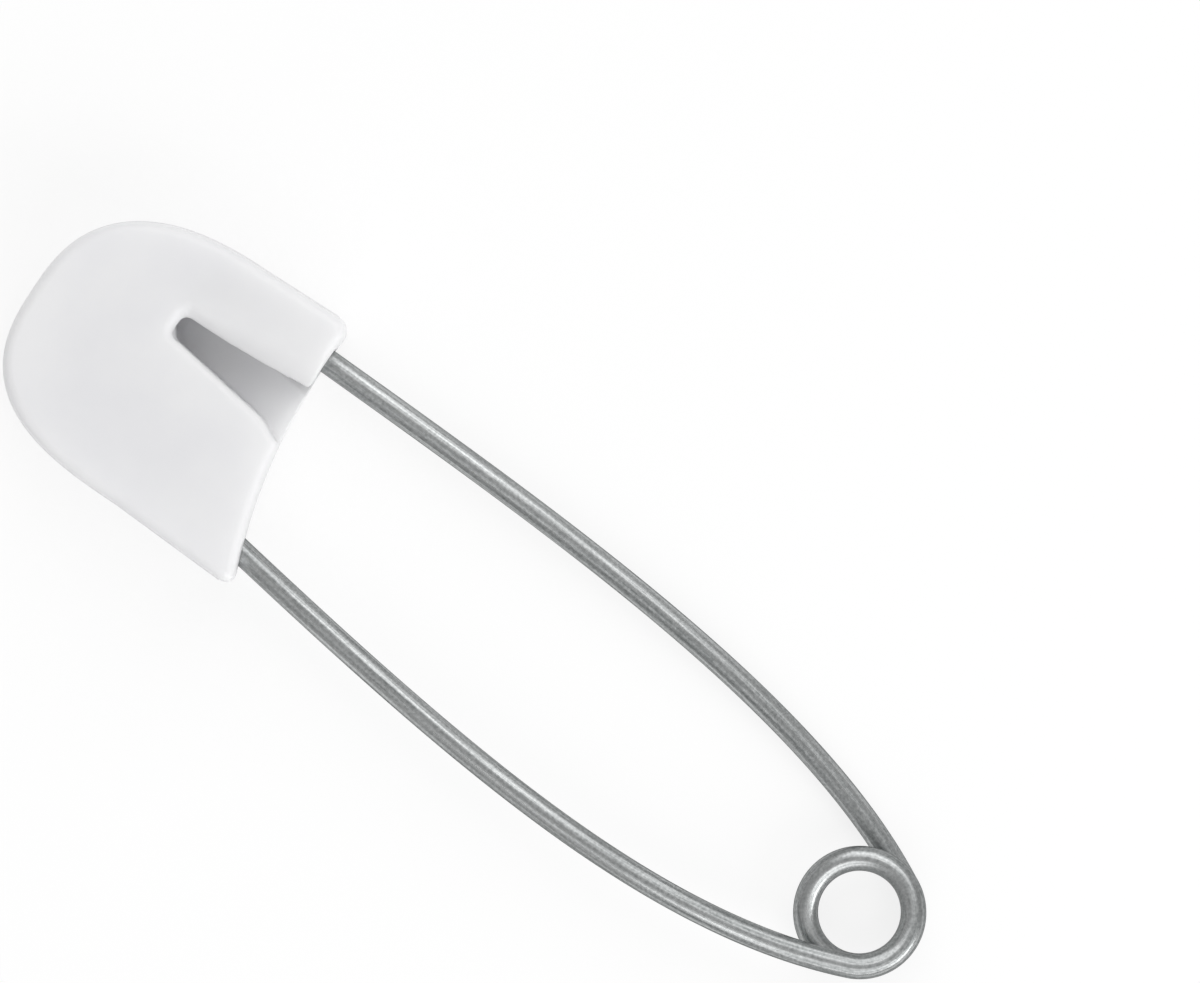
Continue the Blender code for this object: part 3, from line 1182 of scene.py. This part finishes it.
    def slot_layer(self, height: float) -> list[Vector]:
        """The slot's outline at this height, wider where its edges roll over.

        Args:
            height: the layer's height over the cap's back.

        Returns:
            Points along the hood's edge, round the narrow end and back along the lip.
        """
        lip_out = self.lip_radius * self.rolled(height, self.lip_radius)
        end_depth = self.slot_depth - self.slot_width_at_end / 2
        hood, lip = [], []
        for step in range(self.slot_steps + 1):
            depth = -self.overrun + (end_depth + self.overrun) * step / self.slot_steps
            slope = self.hood_slope(height, self.mouth_share(depth))
            hood.append((depth, self.hood_edge(depth) + self.lead_at(height, depth) - slope))
            lip.append((depth, self.lip_edge(depth) + lip_out))
        middle, half = (lip[-1][1] + hood[-1][1]) / 2, (lip[-1][1] - hood[-1][1]) / 2
        blunt, arc = 2 / self.end_power, []
        for step in range(1, self.end_steps):
            turn = HALF_TURN * step / self.end_steps
            aside = math.copysign(half * abs(math.cos(turn)) ** blunt, math.cos(turn))
            arc.append((end_depth + half * math.sin(turn) ** blunt, middle - aside))
        return [self.layout.seat(depth, inward, height) for depth, inward in hood + arc + lip[::-1]]

    def slot_layers(self) -> list[list[Vector]]:
        """The slot's cutter in layers.

        Returns:
            Outlines from inside the pocket to over the cap, closer together near its front.
        """
        start = self.thickness - self.slope_height_at_mouth
        heights = [self.ceiling - self.hood_dip, start]
        for step in range(1, self.slope_steps + 1):
            rise = math.sin(QUARTER_TURN * step / self.slope_steps)
            heights.append(start + self.slope_height_at_mouth * rise)
        heights.append(self.thickness + self.overrun)
        return [self.slot_layer(height) for height in heights]

    def pocket_section(self, depth: float, squeeze: float) -> list[Vector]:
        """A section of the pocket, with the ramp beside the pin arm's seat.

        Args:
            depth: the section's distance in from the mouth.
            squeeze: how far its two walls stand in from their usual places.

        Returns:
            Points from the seat across the ramp to the lip, and back under the hood.
        """
        lay = self.layout
        near = self.mouth_share(depth)
        wall = squeeze - (lay.wire_radius + lay.seat_clearance)
        lip = self.lip_edge(depth) - squeeze - self.lap
        hood = self.hood_edge(depth) + self.lap
        rise = self.lap + self.ramp_rise * near**self.ramp_power
        dip = self.lap + self.hood_dip * near
        section = [
            (wall, lay.back_wall),
            (self.ramp_foot, lay.back_wall),
            (self.ramp_foot + rise / self.ramp_slope, lay.back_wall + rise),
            (lip, lay.back_wall + rise),
            (lip, self.ceiling),
            (hood + self.lead_at(self.ceiling, depth), self.ceiling),
            (hood, self.ceiling - dip),
            (hood - self.dip_width, self.ceiling),
            (wall, self.ceiling),
        ]
        return [lay.seat(depth, inward, height) for inward, height in section]

    def pocket_layers(self) -> list[list[Vector]]:
        """The pocket's cutter in sections.

        Returns:
            Sections from outside the mouth to the pocket's rounded end.
        """
        corner = self.layout.wire_radius
        straight = self.pocket_depth - corner
        span = straight + self.overrun
        layers = [
            self.pocket_section(span * step / self.slot_steps - self.overrun, 0)
            for step in range(self.slot_steps + 1)
        ]
        return [*layers, self.pocket_section(self.pocket_depth, corner)]

    def loft(self, name: str, layers: list[list[Vector]]) -> bpy.types.Object:
        """A closed solid through outlines with as many points each, the lowest first.

        Args:
            name: the solid's name.
            layers: the outlines in cap coordinates.

        Returns:
            The solid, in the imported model's frame.
        """
        mesh = bpy.data.meshes.new(name)
        shape = bmesh.new()
        rings = [[shape.verts.new(point) for point in self.layout.to_row(layer)] for layer in layers]
        shape.faces.new(rings[0][::-1])
        shape.faces.new(rings[-1])
        for low, high in zip(rings, rings[1:]):
            for i, vertex in enumerate(low):
                after = (i + 1) % len(low)
                shape.faces.new((vertex, low[after], high[after], high[i]))
        bmesh.ops.recalc_face_normals(shape, faces=shape.faces)
        shape.to_mesh(mesh)
        shape.free()
        return put(name, mesh)

    def build(self, wire: SpringWire) -> None:
        """Makes the cap, cuts it, softens its edges and rides it on its body.

        Args:
            wire: the wire, whose fixed arm gives the cap's socket.
        """
        block = self.loft("cap block", self.body_layers())
        cutters = [
            self.loft("pocket cutter", self.pocket_layers()),
            self.loft("slot cutter", self.slot_layers()),
            self.socket_cutter(wire),
        ]
        for cutter in cutters:
            cut = block.modifiers.new(cutter.name, "BOOLEAN")
            cut.operation = "DIFFERENCE"
            cut.solver = "EXACT"
            cut.object = cutter
        remesh = block.modifiers.new("even faces", "REMESH")
        remesh.mode = "VOXEL"
        remesh.voxel_size = self.voxel
        soften = block.modifiers.new("soft edges", "SMOOTH")
        soften.factor = self.smoothing
        soften.iterations = self.smoothing_rounds
        bpy.context.view_layer.update()
        cap = plain_copy(block, "cap_moulding")
        for spare in (block, *cutters):
            bpy.data.objects.remove(spare)
        if not cap.data.polygons:
            raise RuntimeError("the cap's cuts left nothing")
        cap.data.materials.clear()
        cap.data.materials.append(self.finish.material())
        cap.data.shade_smooth()
        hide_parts("cap")
        for piece in (cap, self.parting_line()):
            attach(piece, Body.FRAME.value)
            LOG.info("%s rides on frame, %d faces", piece.name, len(piece.data.polygons))

    def parting_line(self) -> bpy.types.Object:
        """Makes the fine bead that the mould's joint leaves round the cap's wall.

        Returns:
            The bead, from one mouth corner round to the other.
        """
        line = self.inset(self.wall_line(), 0.0, self.thickness / 2)
        values = {
            "Radius": self.parting_radius,
            "Sides": self.parting_sides,
            "Finish": self.bead_finish.material(),
        }
        edges = edge_line("parting line", self.layout.to_row(line))
        return path_tool().run("cap_parting_line", edges, values)

    def socket_cutter(self, wire: SpringWire) -> bpy.types.Object:
        """The hole that holds the fixed arm's bent end.

        Args:
            wire: the wire whose fixed arm fits the hole.

        Returns:
            A round cutter along the fixed arm, a clearance thicker than it.
        """
        outside = self.layout.cap_length + 2 * self.overrun
        points = [point for point in wire.fixed_arm_points() if point.x < outside]
        along = (points[0] - points[1]).normalized()
        points[0] = points[0] + along * self.socket_clearance
        line = edge_line("socket", self.layout.to_row(points))
        values = {
            "Radius": self.layout.wire_radius + self.socket_clearance,
            "Sides": wire.sides,
        }
        return path_tool().run("socket cutter", line, values)


@dataclass(frozen=True)
class Softbox:
    """A square lamp. Its bearing is counted in the picture, counter-clockwise from the right."""

    # The angles are in radians, and the distance and the size of a side in metres.
    name: str
    bearing: float
    elevation: float
    distance: float
    size: float
    radiance: float


@dataclass
class Studio:
    """The floor, the lamps and the camera, which looks straight down as the photograph does."""

    hinge: Vector
    # A pixel's width holds at the wire's own height, and the coil's centre is at its pixel.
    image_width: int = 1200
    image_height: int = 983
    pixel: float = 0.05 * MM
    coil_pixel: tuple[float, float] = (859.5, 912.0)
    roll: float = math.radians(33.7)
    camera_height: float = 0.9
    wire_height: float = 1.5 * MM
    sensor: float = 36.0
    floor_size: float = 3.0
    floor_gap: float = 0.02 * MM
    clip: tuple[float, float] = (0.01, 10.0)
    world_colour: str = "#FFFFFF"
    world_strength: float = 0.45
    softboxes: tuple[Softbox, ...] = (
        Softbox("key softbox", math.radians(80), math.radians(46), 0.42, 0.42, 1.55),
        Softbox("lower softbox", math.radians(-82), math.radians(40), 0.40, 0.34, 1.55),
        Softbox("side softbox", math.radians(-38), math.radians(28), 0.40, 0.20, 3.8),
    )

    def image_right(self) -> Vector:
        """The direction in the model's frame that points right in the picture."""
        return unit(self.roll)

    def image_up(self) -> Vector:
        """The direction in the model's frame that points up in the picture."""
        return unit(self.roll + QUARTER_TURN)

    def view_centre(self) -> Vector:
        """Works out what the camera looks at.

        Returns:
            The place on the floor that the middle of the picture shows.
        """
        right = (self.image_width / 2 - self.coil_pixel[0]) * self.pixel
        up = (self.coil_pixel[1] - self.image_height / 2) * self.pixel
        middle = self.image_right() * right + self.image_up() * up
        return Vector((self.hinge.x, self.hinge.y, 0)) + middle

    def camera(self) -> None:
        """Makes the camera, straight over the middle of the picture."""
        data = bpy.data.cameras.new("camera")
        camera = put("camera", data)
        camera.location = self.view_centre() + Vector((0, 0, self.camera_height))
        camera.rotation_euler = (0, 0, self.roll)
        data.sensor_width = self.sensor
        reach = self.camera_height - self.wire_height
        data.lens = self.sensor * reach / (self.image_width * self.pixel)
        data.clip_start, data.clip_end = self.clip
        bpy.context.scene.camera = camera

    def place(self, box: Softbox) -> None:
        """Puts up one softbox, so that it faces the object.

        Args:
            box: the softbox.
        """
        data = bpy.data.lights.new(box.name, "AREA")
        data.shape = "SQUARE"
        data.size = box.size
        data.energy = box.radiance * math.pi * box.size * box.size
        lamp = put(box.name, data)
        flat = unit(self.roll + box.bearing) * math.cos(box.elevation)
        lamp.location = (flat + Vector((0, 0, math.sin(box.elevation)))) * box.distance
        lamp.rotation_euler = lamp.location.to_track_quat("Z", "Y").to_euler()

    def lay_floor(self) -> None:
        """Lays the white floor, which isn't part of the object."""
        half = self.floor_size / 2
        corners = [(-half, -half), (half, -half), (half, half), (-half, half)]
        mesh = bpy.data.meshes.new("floor")
        mesh.from_pydata([(x, y, -self.floor_gap) for x, y in corners], [], [(0, 1, 2, 3)])
        mesh.materials.append(Paper().material())
        put("floor", mesh)

    def light_world(self) -> None:
        """Gives the room its even light."""
        world = bpy.data.worlds.new("studio")
        world.use_nodes = True
        tree = world.node_tree
        tree.nodes.clear()
        room = {"Color": linear(self.world_colour), "Strength": self.world_strength}
        light = add(tree, "ShaderNodeBackground", room)
        add(tree, "ShaderNodeOutputWorld", {"Surface": light.outputs["Background"]})
        bpy.context.scene.world = world

    def build(self) -> None:
        """Makes the floor, the lamps, the world and the camera."""
        self.lay_floor()
        self.light_world()
        for box in self.softboxes:
            self.place(box)
        self.camera()
        bpy.context.scene.view_settings.view_transform = "Standard"


def main() -> None:
    """Builds each sub-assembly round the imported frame."""
    logging.basicConfig(level=logging.INFO, format="%(name)s: %(message)s")
    hinge = Vector(frame["joints"][0]["pos_m"])
    layout = Layout(hinge)
    Studio(hinge).build()
    wire = SpringWire(layout)
    wire.build()
    Cap(layout).build(wire)


if __name__ == "__main__":
    main()
